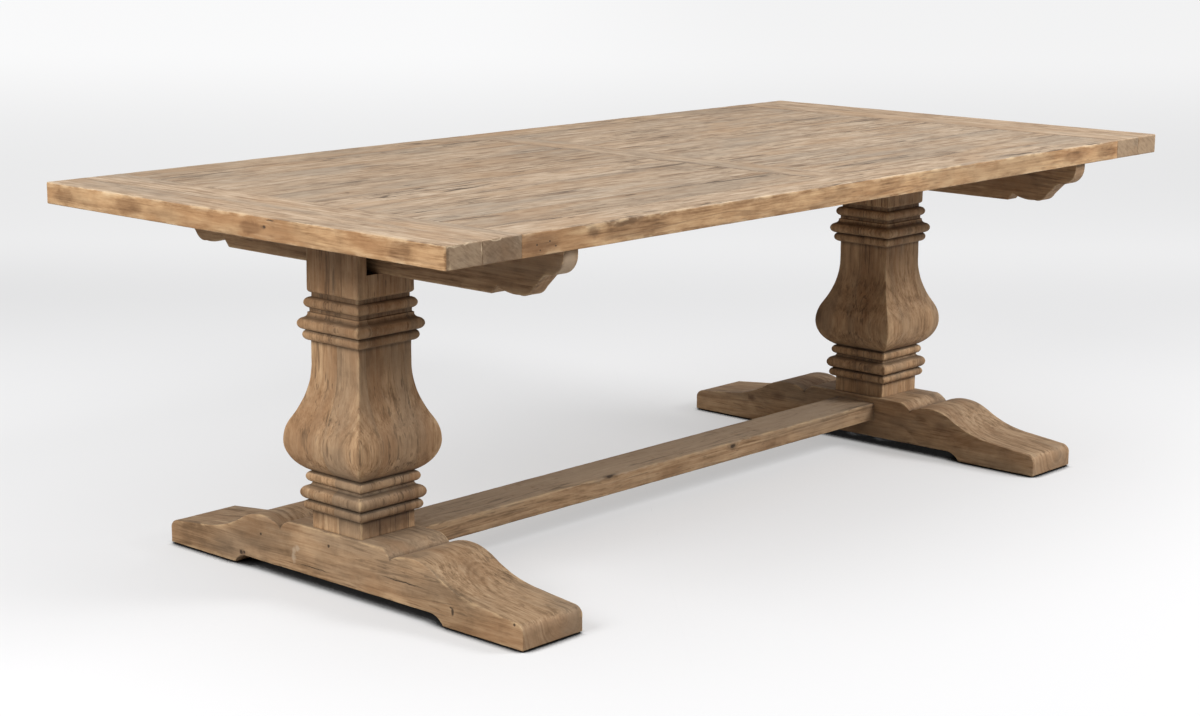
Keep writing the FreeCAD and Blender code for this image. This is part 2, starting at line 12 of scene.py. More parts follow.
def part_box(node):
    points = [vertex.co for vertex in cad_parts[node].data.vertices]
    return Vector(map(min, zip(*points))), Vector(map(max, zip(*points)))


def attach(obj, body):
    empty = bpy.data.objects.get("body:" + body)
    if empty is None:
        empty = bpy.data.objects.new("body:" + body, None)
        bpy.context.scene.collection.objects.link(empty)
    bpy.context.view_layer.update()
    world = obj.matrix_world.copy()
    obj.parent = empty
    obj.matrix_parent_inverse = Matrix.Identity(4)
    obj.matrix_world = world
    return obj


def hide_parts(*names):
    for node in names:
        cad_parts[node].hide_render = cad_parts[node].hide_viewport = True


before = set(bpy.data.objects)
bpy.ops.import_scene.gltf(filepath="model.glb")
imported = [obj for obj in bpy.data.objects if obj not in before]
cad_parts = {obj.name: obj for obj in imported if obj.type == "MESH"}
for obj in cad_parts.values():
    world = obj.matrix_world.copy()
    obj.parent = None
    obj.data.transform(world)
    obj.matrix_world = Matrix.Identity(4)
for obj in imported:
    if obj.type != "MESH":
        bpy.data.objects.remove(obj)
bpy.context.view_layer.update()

# Weathered trestle dining table: every visible timber is a worn, rounded sweep along its own grain,
# fitted to its CAD node. Metres. +X runs along the table, the long front edge faces -Y, +Z is up.
MM = 0.001
X, Y, Z = 0, 1, 2
# The two axes across the grain, called u and v, for grain along X, Y and Z
ACROSS = ((Y, Z), (X, Z), (X, Y))
# The sides of a section in order round it; the corner of the same number comes just before each side
HIGH_V, LOW_U, LOW_V, HIGH_U = range(4)
OUTWARD = ((0, 1), (-1, 0), (0, -1), (1, 0))

# Mesh fineness
ARC_STEPS = 4
END_STEPS = 5
DRILL_SIDES = 32
STEP = 8 * MM
SIDE_STEP = 14 * MM
OUTLINED_STEP = 7 * MM
PEDESTAL_STEP = 4 * MM
# Rows of points close to arrises and caps keep the shading crisp
GUARD = 2.5 * MM
GUARD_SHARE = 0.3
CAP_GUARD = 0.7 * MM
# Widest arc, as a share of the section's smaller size
WIDEST_ARC = 0.45
WELD = 0.002 * MM
LEDGE = 0.05 * MM
LEAST_UPRIGHT = 5 * LEDGE
SHARP_ANGLE = math.radians(42)
DRILL_START = -20 * MM

# Wear of faces: depth, and dents to the metre along the grain and across it
UNDULATION = 0.45 * MM
DENTS_ALONG = 5
DENTS_ACROSS = 24
# Wear of arrises: changes to the metre, distance from corner to corner in the noise, and share
SLOW_WEAR = (9, 7.3, 0.7)
QUICK_WEAR = (47, 3.1, 0.5)
WEAR_SHARE = 0.8
LEAST_RADIUS_SHARE = 0.2
# Ragged depth of a bite: its middle, and its wear as above
BITE_LEVEL = 0.7
BITE_WEAR = (160, 1, 0.6)
# Radii
SEAM_RADIUS = 0.8 * MM
STAVE_SEAM_RADIUS = 0.35 * MM
TOP_ARRIS = 3.0 * MM
UNDER_ARRIS = 2.0 * MM
END_ARRIS = 3.0 * MM
BASE_ARRIS = 2.4 * MM
CORNER_RADIUS = 7 * MM
# Share of the worn colour beside an arris, of the seam colour beside a seam, and of it in end grain
BESIDE_ARRIS = 0.35
SEAM_DIRT = 0.12
END_SEAM = 0.2
# Shift along the grain that gives each timber a figure of its own
FIGURE_SHIFT = (0, 40)


def srgb(red, green, blue):
    """Linear colour from the 0 to 255 values of a picture."""
    colour = Color((red / 255, green / 255, blue / 255))
    return (*colour.from_srgb_to_scene_linear(), 1.0)


def added(name, data):
    """New object in the scene."""
    thing = bpy.data.objects.new(name, data)
    bpy.context.scene.collection.objects.link(thing)
    return thing


# Sections and sweeps


def evenly(start, end, step):
    """Places from start to end, about a step apart, both ends included."""
    count = max(1, round(abs(end - start) / step))
    return [start + (end - start) * index / count for index in range(count + 1)]


def side_counts(sections):
    """Number of steps along each side of a timber."""
    u_lows, u_highs, v_lows, v_highs = zip(*sections)
    wide = max(1, round((max(u_highs) - min(u_lows)) / SIDE_STEP))
    tall = max(1, round((max(v_highs) - min(v_lows)) / SIDE_STEP))
    return (wide, tall, wide, tall)


def section_arcs(bounds, radii):
    """Points of the four rounded corners of a rectangle."""
    u_low, u_high, v_low, v_high = bounds
    widest = WIDEST_ARC * min(u_high - u_low, v_high - v_low)
    corners = (
        (u_high, v_high, -1, -1), (u_low, v_high, 1, -1),
        (u_low, v_low, 1, 1), (u_high, v_low, -1, 1),
    )
    arcs = []
    for index, (u, v, u_inward, v_inward) in enumerate(corners):
        radius = max(min(radii[index], widest), LEDGE)
        centre_u = u + u_inward * radius
        centre_v = v + v_inward * radius
        arc = []
        for step in range(ARC_STEPS + 1):
            angle = math.pi / 2 * (index + step / ARC_STEPS)
            arc.append((centre_u + radius * math.cos(angle), centre_v + radius * math.sin(angle)))
        arcs.append(arc)
    return arcs


def section_ring(bounds, radii, counts):
    """Points of a rounded rectangle, anticlockwise from the high-u side: (u, v, corner, side, share).

    The share is the part of the arc done at a corner. On a side it is 1 at the first point, -1 at the
    last and 0 between.
    """
    arcs = section_arcs(bounds, radii)
    ring = []
    for index, arc in enumerate(arcs):
        for step, (u, v) in enumerate(arc):
            ring.append((u, v, index, None, step / ARC_STEPS))
        start = Vector(arc[-1])
        run = Vector(arcs[(index + 1) % 4][0]) - start
        guard_share = min(GUARD_SHARE, GUARD / max(run.length, LEDGE))
        for step in range(counts[index] + 1):
            place = start + run * (guard_share + (1 - 2 * guard_share) * step / counts[index])
            guard = 1.0 if step == 0 else -1.0 if step == counts[index] else 0.0
            ring.append((place.x, place.y, None, index, guard))
    return ring


def end_places(start, end, radius, step):
    """Places along the grain, close together where each end is rounded."""
    rounding = []
    for index in range(END_STEPS + 1):
        rounding.append(radius * (1 - math.cos(math.pi / 2 * index / END_STEPS)))
    low = [start + offset for offset in rounding]
    high = [end - offset for offset in reversed(rounding)]
    return low + evenly(start + radius, end - radius, step)[1:-1] + high


def end_shrink(place, start, end, radius):
    """How far a rounded end draws the section in, at a place along the grain."""
    depth = radius - min(place - start, end - place)
    if depth <= 0:
        return 0.0
    return radius - math.sqrt(max(radius * radius - depth * depth, 0.0))


def drilled(mesh, holes):
    """The mesh with round holes cut up into it; each hole is its middle, its radius and its top."""
    shape = bmesh.new()
    for (x, y), radius, top in holes:
        place = Matrix.Translation((x, y, (DRILL_START + top) / 2))
        bmesh.ops.create_cone(
            shape, cap_ends=True, segments=DRILL_SIDES, radius1=radius, radius2=radius,
            depth=top - DRILL_START, matrix=place,
        )
    cutter_mesh = bpy.data.meshes.new("drill")
    shape.to_mesh(cutter_mesh)
    shape.free()
    body, cutter = added("drilled", mesh), added("drill", cutter_mesh)
    cut = body.modifiers.new("holes", "BOOLEAN")
    cut.object = cutter
    cut.operation = "DIFFERENCE"
    cut.solver = "EXACT"
    evaluated = body.evaluated_get(bpy.context.evaluated_depsgraph_get())
    result = bpy.data.meshes.new_from_object(evaluated)
    for thing in (body, cutter):
        bpy.data.objects.remove(thing)
    bpy.data.meshes.remove(cutter_mesh)
    return result


def carried_over(verts, values, mesh):
    """Values of the points a drilled mesh kept; its new points get none."""
    known = KDTree(len(verts))
    for index, place in enumerate(verts):
        known.insert(place, index)
    known.balance()
    carried = []
    for vert in mesh.vertices:
        _, index, distance = known.find(vert.co)
        carried.append(values[index] if distance < WELD else (0.0, 0.0, 0.0))
    return carried


@dataclasses.dataclass
class Timber:
    """A worn length of wood: a rounded section swept along its grain."""
    node: str
    grain: int
    start: float
    end: float
    bounds_at: object
    radii: list
    pith: tuple
    tone: tuple
    end_radius: float = SEAM_RADIUS
    step: float = STEP
    places: tuple = ()
    seam_sides: tuple = ()
    seam_ends: tuple = (True, True)
    bites: tuple = ()
    crevice_at: object = lambda place: 0.0
    smooth_sides: tuple = ()
    holes: tuple = ()

    def __post_init__(self):
        self.offset = random.Random(self.node).uniform(*FIGURE_SHIFT)

    def wear(self, place, corner, per_metre, apart, share):
        """One noise along an arris, times its share."""
        return share * noise.noise(Vector((place * per_metre, corner * apart, self.offset)))

    def worn_radii(self, place):
        """Radius of each arris at one place, with slow wear and the odd bite out of it."""
        radii = []
        for corner, radius in enumerate(self.radii):
            wear = self.wear(place, corner, *SLOW_WEAR) + self.wear(place, corner, *QUICK_WEAR)
            worn = radius * (1 + WEAR_SHARE * wear)
            for bite_corner, middle, half_length, depth in self.bites:
                if bite_corner == corner and abs(place - middle) < half_length:
                    swell = math.cos(math.pi / 2 * (place - middle) / half_length) ** 2
                    worn += depth * swell * (BITE_LEVEL + self.wear(place, corner, *BITE_WEAR))
            radii.append(max(worn, LEAST_RADIUS_SHARE * radius))
        return radii

    def edge_values(self, corner, side, share, crevice):
        """How worn, how deep in a seam and how deep in a hollow one ring point is."""
        if side in self.smooth_sides:
            crevice = 0.0
        if side in self.seam_sides:
            return (0.0, 1.0, crevice)
        if side is not None:
            beside = (side - 1) % 4 if share > 0 else (side + 1) % 4
            if share and beside in self.seam_sides:
                return (0.0, SEAM_DIRT, crevice)
            return (BESIDE_ARRIS * abs(share), 0.0, crevice)
        before_seam = (corner - 1) % 4 in self.seam_sides
        after_seam = corner in self.seam_sides
        if before_seam and after_seam:
            return (0.0, 1.0, crevice)
        if before_seam or after_seam:
            return (0.0, 1 - share if before_seam else share, crevice)
        return (1.0, 0.0, crevice)

    def seam_share(self, place):
        """Seams are paler where they come out at an end that shows."""
        at_start = place - self.start < self.end_radius and not self.seam_ends[0]
        at_end = self.end - place < self.end_radius and not self.seam_ends[1]
        return END_SEAM if at_start or at_end else 1.0

    def point(self, place, u, v):
        """Space point of a place along the grain and a point of the section."""
        where = [u, v]
        where.insert(self.grain, place)
        return where

    def rounded_bounds(self, place, inset):
        """Bounds of the section at one place, drawn in at the rounded ends."""
        shrinks = []
        for side in range(4):
            radius = min(self.end_radius, SEAM_RADIUS) if side in self.seam_sides else self.end_radius
            shrinks.append(inset + end_shrink(place, self.start, self.end, radius))
        u_low, u_high, v_low, v_high = self.bounds_at(place)
        return (
            u_low + shrinks[LOW_U], u_high - shrinks[HIGH_U],
            v_low + shrinks[LOW_V], v_high - shrinks[HIGH_V],
        )

    def stops(self):
        """Places of all rings, each with its inset; the first and last are the caps."""
        places = set(end_places(self.start, self.end, self.end_radius, self.step))
        first, last = self.start + self.end_radius, self.end - self.end_radius
        places = sorted(places | {place for place in self.places if first < place < last})
        return [(places[0], CAP_GUARD)] + [(place, 0.0) for place in places] + [(places[-1], CAP_GUARD)]

    def build(self, material):
        """Makes the mesh, its attributes and the piece that stands for the CAD node."""
        stops = self.stops()
        counts = side_counts([self.bounds_at(place) for place, _ in stops])
        verts, edges = [], []
        for place, inset in stops:
            bounds = self.rounded_bounds(place, inset)
            crevice = self.crevice_at(place)
            seam_share = self.seam_share(place)
            for u, v, corner, side, share in section_ring(bounds, self.worn_radii(place), counts):
                if side is not None and side not in self.seam_sides and share == 0.0:
                    where = (place * DENTS_ALONG + self.offset, u * DENTS_ACROSS, v * DENTS_ACROSS)
                    dent = 0.5 + 0.5 * noise.noise(Vector(where))
                    u -= OUTWARD[side][0] * UNDULATION * dent
                    v -= OUTWARD[side][1] * UNDULATION * dent
                verts.append(self.point(place, u, v))
                arris, seam, hollow = self.edge_values(corner, side, share, crevice)
                edges.append((arris, seam * seam_share, hollow))
        size = len(verts) // len(stops)
        first_cap, last_cap = range(size), range(len(verts) - size, len(verts))
        faces = [tuple(first_cap)[::-1], tuple(last_cap)]
        for low in range(0, len(verts) - size, size):
            for index in range(low, low + size):
                beside = low + (index + 1 - low) % size
                faces.append((index, beside, beside + size, index + size))
        if self.grain == Y:
            faces = [face[::-1] for face in faces]
        for cap, hidden in zip((first_cap, last_cap), self.seam_ends):
            for index in cap:
                edges[index] = (0.0, float(hidden), 0.0)
        self.finish_piece(verts, edges, faces, material)

    def finish_piece(self, verts, edges, faces, material):
        """Turns points and faces into the piece that rides on the frame."""
        mesh = bpy.data.meshes.new(self.node + "_timber")
        mesh.from_pydata(verts, [], faces)
        if self.holes:
            mesh = drilled(mesh, self.holes)
            edges = carried_over(verts, edges, mesh)
        across, up = ACROSS[self.grain]
        grain, tone = [], []
        for place in (vert.co for vert in mesh.vertices):
            grain.append(place[self.grain] + self.offset)
            grain += [place[across] - self.pith[0], place[up] - self.pith[1]]
            tone += self.tone
        axis = [float(index == self.grain) for index in range(3)] * len(mesh.vertices)
        flat_edges = [value for values in edges for value in values]
        for name, values in (("grain", grain), ("axis", axis), ("tone", tone), ("edge", flat_edges)):
            mesh.attributes.new(name, "FLOAT_VECTOR", "POINT").data.foreach_set("vector", values)
        mesh.shade_smooth()
        mesh.set_sharp_from_angle(angle=SHARP_ANGLE)
        mesh.materials.append(material)
        piece = added(self.node + "_timber", mesh)
        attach(piece, "root")
        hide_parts(self.node)


# Outlines read from the CAD nodes


def welded(node):
    """Closed copy of a CAD node's mesh."""
    copy = bmesh.new()
    copy.from_mesh(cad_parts[node].data)
    bmesh.ops.remove_doubles(copy, verts=copy.verts, dist=WELD)
    return copy


def side_outline(node, plane):
    """Edges, as pairs of (y, z), round the flat side of a node that lies on one X plane."""
    copy = welded(node)
    flat = {face for face in copy.faces if all(abs(vert.co.x - plane) < LEDGE for vert in face.verts)}
    outline = []
    for edge in copy.edges:
        if sum(face in flat for face in edge.link_faces) == 1:
            outline.append([(vert.co.y, vert.co.z) for vert in edge.verts])
    copy.free()
    return outline


def corner_outline(node, middle_x):
    """Edges, as pairs of (z, half width), up the outer corner of a pedestal's stave."""
    copy = welded(node)
    outline = []
    for edge in copy.edges:
        ends = [(abs(vert.co.x - middle_x), abs(vert.co.y), vert.co.z) for vert in edge.verts]
        if all(abs(x - y) < LEDGE for x, y, z in ends):
            outline.append([(z, x) for x, y, z in ends])
    copy.free()
    return outline


def crossings(outline, place):
    """Lowest and highest value of an outline at one place."""
    values = []
    for (start, first), (end, second) in outline:
        if min(start, end) <= place <= max(start, end):
            if abs(end - start) < WELD:
                values += [first, second]
            else:
                values.append(first + (second - first) * (place - start) / (end - start))
    return min(values), max(values)


def outline_places(outline):
    """Places where an outline bends, with one each side of every upright step."""
    places = set()
    for (start, first), (end, second) in outline:
        if abs(end - start) < LEDGE and abs(first - second) > LEAST_UPRIGHT:
            places |= {start - LEDGE, start + LEDGE}
        else:
            places |= {start, end}
    kept = []
    for place in sorted(places):
        if not kept or place - kept[-1] > LEDGE:
            kept.append(place)
    return kept


def hollow_depth(height_at, place, reach, full):
    """How deep a profile is drawn in below its neighbours, from 0 to 1 at the full depth."""
    beside = (height_at(place - reach) + height_at(place + reach)) / 2
    return max(0.0, min(1.0, (beside - height_at(place)) / full))


# Shader helpers


@dataclasses.dataclass
class Graph:
    """Short calls for the nodes of one shader tree."""
    tree: object

    def fill(self, node, inputs):
        """Links or sets inputs of a node."""
        for key, value in inputs.items():
            if isinstance(value, bpy.types.NodeSocket):
                self.tree.links.new(value, node.inputs[key])
            else:
                node.inputs[key].default_value = value

    def add(self, kind, inputs=None, **settings):
        """New node with its settings and inputs."""
        node = self.tree.nodes.new("ShaderNode" + kind)
        for name, value in settings.items():
            setattr(node, name, value)
        self.fill(node, inputs or {})
        return node

    def math(self, operation, first, second=0.0):
        """One sum of two values."""
        return self.add("Math", {0: first, 1: second}, operation=operation).outputs[0]

    def times(self, first, second):
        """Two values multiplied."""
        return self.math("MULTIPLY", first, second)

    def fade(self, value, start, end, low=0.0, high=1.0):
        """Smooth step from low at start to high at end."""
        inputs = {"Value": value, "From Min": start, "From Max": end, "To Min": low, "To Max": high}
        return self.add("MapRange", inputs, interpolation_type="SMOOTHSTEP").outputs[0]

    def vector(self, operation, first, second=(0, 0, 0)):
        """One sum of two vectors."""
        return self.add("VectorMath", {0: first, 1: second}, operation=operation).outputs

    def scaled(self, vector, scale):
        """A vector times one factor for each axis."""
        return self.vector("MULTIPLY", vector, scale)[0]

    def moved(self, vector, offset):
        """A vector plus an offset."""
        return self.vector("ADD", vector, offset)[0]

    def dot(self, first, second):
        """How far one vector goes along another."""
        return self.vector("DOT_PRODUCT", first, second)["Value"]

    def noise(self, vector, scale, detail, roughness, output=0):
        """Noise with its features per metre on each axis."""
        place = self.scaled(vector, scale)
        inputs = {"Vector": place, "Scale": 1.0, "Detail": detail, "Roughness": roughness}
        return self.add("TexNoise", inputs).outputs[output]

    def jitter(self, vector, reach, *settings):
        """Noise offsets, up to half the reach either way on each axis."""
        colour = self.noise(vector, *settings, output="Color")
        return self.scaled(self.moved(colour, (-0.5, -0.5, -0.5)), reach)

    def mix(self, factor, first, second, blend="MIX"):
        """Two colours mixed."""
        inputs = {"Factor": factor, 6: first, 7: second}
        return self.add("Mix", inputs, data_type="RGBA", blend_type=blend).outputs[2]

    def attribute(self, name):
        """Vector attribute of the mesh."""
        return self.add("Attribute", attribute_name=name).outputs["Vector"]

    def place(self):
        """Place on the object, in metres."""
        return self.add("TexCoord").outputs["Object"]

    def parts(self, vector):
        """The three values of a vector."""
        return self.add("SeparateXYZ", {0: vector}).outputs


def new_material(name):
    """Empty node material with its graph and its surface shader."""
    material = bpy.data.materials.new(name)
    material.use_nodes = True
    graph = Graph(material.node_tree)
    return material, graph, graph.tree.nodes["Principled BSDF"]


# Wood figure. Each noise has its features per metre along the grain and across it, detail and roughness
DRIFT = ((1.6, 7, 7), 2, 0.5)
DRIFT_REACH = (0, 22 * MM, 22 * MM)
BENT_FIELDS = {
    "Streak": ((5, 110, 110), 4, 0.62),
    "Mottle": ((17, 70, 70), 4, 0.65),
    "Fibre": ((10, 330, 330), 2, 0.6),
    "Smudge": ((10, 40, 40), 3, 0.6),
}
STAIN = ((2.4, 8, 8), 3, 0.55)
PATINA = ((3.9, 12, 12), 3, 0.55)
ZONE = ((2.8, 10, 10), 2, 0.55)
SPLIT = ((1.7, 26, 26), 2, 0.55)
CRACK = ((7, 130, 130), 1, 0.55)
CHECK = ((24, 170, 170), 1, 0.55)
# Offset that keeps two noises of like scale apart
ELSEWHERE = (7, 3, 5)
# Growth rings: features per metre out from the pith and along the grain, detail and roughness
RINGS = ((150, 0.55, 1), 3, 0.6)
# Knots: cells per metre, which of them have one, its core, its reach and its push on the rings
KNOT_SCALE = (4.2, 7.5, 7.5)
KNOT_CHOSEN = (0.62, 0.66)
KNOT_CORE = (0.15, 0.05)
KNOT_REACH = (0.55, 0.05)
KNOT_SWIRL = 18 * MM
# Values between which cracks, checks, splits and the zones they keep to fade in
CRACK_EDGE = (0.645, 0.70)
CHECK_EDGE = (0.635, 0.72)
CRACK_ZONE = (0.40, 0.60)
SPLIT_EDGE = (0.022, 0.006)
SPLIT_ZONE = (0.50, 0.62)


def wood_figure():
    """Node group that turns grain coordinates into the figure, cracks and knots of old wood."""
    group = bpy.data.node_groups.new("wood_figure", "ShaderNodeTree")
    interface = group.interface
    interface.new_socket("Grain", in_out="INPUT", socket_type="NodeSocketVector")
    interface.new_socket("Swirl", in_out="INPUT", socket_type="NodeSocketFloat")
    graph = Graph(group)
    given = group.nodes.new("NodeGroupInput").outputs
    grain = given["Grain"]
    bent = graph.moved(grain, graph.jitter(grain, DRIFT_REACH, *DRIFT))

    cells = graph.add("TexVoronoi", {"Vector": graph.scaled(grain, KNOT_SCALE), "Scale": 1.0})
    chosen = graph.fade(graph.parts(cells.outputs["Color"])[0], *KNOT_CHOSEN)
    knots = graph.times(graph.fade(cells.outputs["Distance"], *KNOT_CORE), chosen)
    swirl = graph.times(graph.fade(cells.outputs["Distance"], *KNOT_REACH), chosen)
    swirl = graph.math("MAXIMUM", swirl, given["Swirl"])

    along, across, depth = graph.parts(bent)
    squares = graph.math("ADD", graph.math("POWER", across, 2.0), graph.math("POWER", depth, 2.0))
    from_pith = graph.math("ADD", graph.math("SQRT", squares), graph.times(swirl, KNOT_SWIRL))
    ring_place = graph.add("CombineXYZ", {0: from_pith, 1: along}).outputs[0]

    zone = graph.noise(grain, *ZONE)
    cracks = graph.fade(graph.noise(bent, *CRACK), *CRACK_EDGE)
    checks = graph.fade(graph.noise(bent, *CHECK), *CHECK_EDGE)
    cracks = graph.times(graph.math("MAXIMUM", cracks, checks), graph.fade(zone, *CRACK_ZONE))
    midway = graph.math("ABSOLUTE", graph.math("SUBTRACT", graph.noise(bent, *SPLIT), 0.5))
    splits = graph.times(graph.fade(midway, *SPLIT_EDGE), graph.fade(zone, *SPLIT_ZONE))
    fields = {name: graph.noise(bent, *settings) for name, settings in BENT_FIELDS.items()}
    fields["Rings"] = graph.noise(ring_place, *RINGS)
    fields["Stain"] = graph.noise(grain, *STAIN)
    fields["Patina"] = graph.noise(graph.moved(grain, ELSEWHERE), *PATINA)
    fields.update({"Cracks": cracks, "Splits": splits, "Knots": knots})
    for name in fields:
        interface.new_socket(name, in_out="OUTPUT", socket_type="NodeSocketFloat")
    graph.fill(group.nodes.new("NodeGroupOutput"), fields)
    return group


WOOD_FIGURE = wood_figure()


# Marks seen in the photograph: the centre of each and its half sizes, in millimetres
BASE_DARK_MARKS = (
    (-937, -331, 38, 8, 4.5, 11), (-937, -327, 45, 8, 6, 2.4), (-937, 284, 27, 8, 6, 6),
    (-937, 274, 29, 8, 4, 5), (-937, 15, 94, 6, 5, 4), (-937, 220, 78, 6, 4, 4),
    (-937, -195, 66, 6, 75, 1.8), (-937, 60, 40, 6, 60, 1.4), (-937, -492, 49, 5, 4, 4),
    (-962, -25, 345, 12, 1.8, 9), (-955, -2, 362, 14, 1.4, 26), (-195, -56, 107, 14, 8, 6),
    (226, -56, 98, 12, 8, 6),
)
# Knots of the base; the last mark is no knot but painted shade, dark brown over the near plinth's front
# face
BASE_KNOTS_AND_PLINTH_SHADE = (
    (-864, -440, 82, 17, 15, 40), (-850, -404, 92, 11, 18, 40), (-850, -513, 60, 9, 12, 12),
    (-937, 279, 28, 12, 20, 12), (-195, -56, 107, 32, 16, 14), (226, -56, 98, 28, 16, 14),
    (-890, -336, 115, 26, 30, 40), (777, 330, 60, 12, 16, 12), (-857, -73, 147, 100, 12, 36),
)
# Pale marks of the base; the last lightens the near bearer's corbel end as a painted highlight
BASE_PALE_MARKS = (
    (-937, 120, 54, 8, 8, 22), (-937, 110, 70, 8, 10, 9), (-520, 0, 108, 330, 110, 7),
    (-170, 0, 108, 330, 110, 7), (170, 0, 108, 330, 110, 7), (520, 0, 108, 330, 110, 7),
    (-857, -545, 690, 25, 45, 80),
)
# Painted shade under the top on the near pedestal's head, neck and bearer side; the rest darken feet and
# plinth
BASE_SHADE_MARKS = (
    (-937, -310, 50, 30, 150, 60), (-937, 215, 76, 20, 150, 44), (-937, 400, 36, 20, 130, 40),
    (-857, 0, 690, 400, 400, 100), (-857, 0, 168, 400, 400, 44), (-857, -110, 480, 130, 60, 80),
    (-877, -330, 690, 14, 330, 120),
)
TOP_DARK_MARKS = (
    (-1175, -100, 762, 6, 5, 4), (-1175, -117, 776, 6, 14, 1.6), (-958, -567, 757, 3, 6, 2.8),
    (-949, -567, 747, 2.4, 6, 2.2), (-926, -567, 760, 2.6, 6, 2.4), (-911, -567, 750, 3, 6, 2.2),
    (-401, 20, 780, 26, 4, 6), (-937, -255, 780, 20, 4, 6), (-976, -235, 780, 22, 3, 6),
    (-704, 28, 780, 16, 4, 6), (-861, 29, 780, 6, 6, 6), (-495, -373, 780, 22, 4, 6),
    (-89, 462, 780, 22, 4, 6), (177, 309, 780, 20, 4, 6),
)
TOP_KNOTS = (
    (-812, -567, 764, 22, 14, 14), (-1175, -98, 762, 8, 11, 8), (-735, -567, 772, 60, 12, 7),
    (-822, -567, 776, 16, 10, 6), (-770, -567, 777, 32, 10, 5), (-700, -567, 776, 36, 10, 5),
    (-622, -567, 777, 24, 10, 5),
)
TOP_PALE_MARKS = (
    (-1160, -566, 779, 22, 5, 2), (-1122, -566, 779, 20, 5, 2), (-1056, -566, 779, 26, 5, 2),
    (-1091, -567, 763, 2, 6, 12),
)
TOP_SHADE_MARKS = (
    (-1175, -62, 757, 8, 42, 16), (-1175, -455, 757, 8, 40, 24), (-1175, 300, 757, 8, 55, 22),
    (-1175, 505, 757, 8, 45, 20), (-1170, -567, 757, 6, 8, 30), (-1040, -567, 757, 62, 8, 40),
    (-950, -567, 757, 60, 8, 24), (-700, -567, 760, 110, 8, 26), (800, -567, 757, 60, 8, 17),
    (950, -567, 757, 55, 8, 15), (-580, -263, 780, 70, 14, 8), (-223, 178, 780, 50, 12, 8),
)
TOP_MARKS = (TOP_DARK_MARKS, TOP_KNOTS, TOP_PALE_MARKS, TOP_SHADE_MARKS)
BASE_MARKS = (BASE_DARK_MARKS, BASE_KNOTS_AND_PLINTH_SHADE, BASE_PALE_MARKS, BASE_SHADE_MARKS)
# Distance from the middle, as a share of the half size, at which a mark is at full strength
MARK_RIM = 0.45
KNOT_AND_SHADE_RIM = 0.3
SHADE_RIM = 0.5


def marked(graph, place, marks, rim=MARK_RIM):
    """Strength of a list of marks at a place: each is an ellipsoid with a soft rim."""
    strength = 0.0
    for mark in marks:
        offset = graph.moved(place, [-value * MM for value in mark[:3]])
        offset = graph.scaled(offset, [1 / (value * MM) for value in mark[3:]])
        distance = graph.vector("LENGTH", offset)["Value"]
        strength = graph.math("MAXIMUM", graph.fade(distance, 1.0, rim), strength)
    return strength


# Grime over the faces, scratches across end grain and their tilt, as noises in space
GRIME = ((26, 26, 26), 5, 0.62)
SCRATCH = ((150, 60, 40), 3, 0.6)
SCRATCH_TILT = math.radians(55)
# Noise that makes the outlines of marks uneven, its reach, and its share in dark marks
WOBBLE = ((45, 45, 45), 4, 0.6)
WOBBLE_REACH = (18 * MM,) * 3
CRISP_SHARE = (0.35,) * 3
# Values between which each effect fades in
END_GRAIN = (0.6, 0.92)
STAIN_EDGE = (0.45, 0.64)
PATINA_EDGE = (0.47, 0.64)
SMUDGE_EDGE = (0.58, 0.74)
FLANK_EDGE = (0.75, 0.35)
FLANK_DARK_EDGE = (0.50, 0.66)
CROWN_EDGE = (0.5, 0.9)
GRIME_EDGE = (0.46, 0.66)
SCRATCH_EDGE = (0.42, 0.66)
WORN_EDGE = (0.46, 0.62)
# Places of the dark, middle and light colour in the range of the figure
FIGURE_RAMP = (0.36, 0.5, 0.64)
PALE_SHARE = 0.65
KNOT_AND_SHADE_SHARE = 0.6
PIT_SHARE = 0.85
# Roughness at two values of the figure
ROUGH_FIGURE = (0.3, 0.7)
WOOD_ROUGHNESS = (0.78, 0.62)
WOOD_SPECULAR = 0.25
FIBRE_RELIEF = 0.4
BUMP_STRENGTH = 0.6
BUMP_HEIGHT = 1.0 * MM


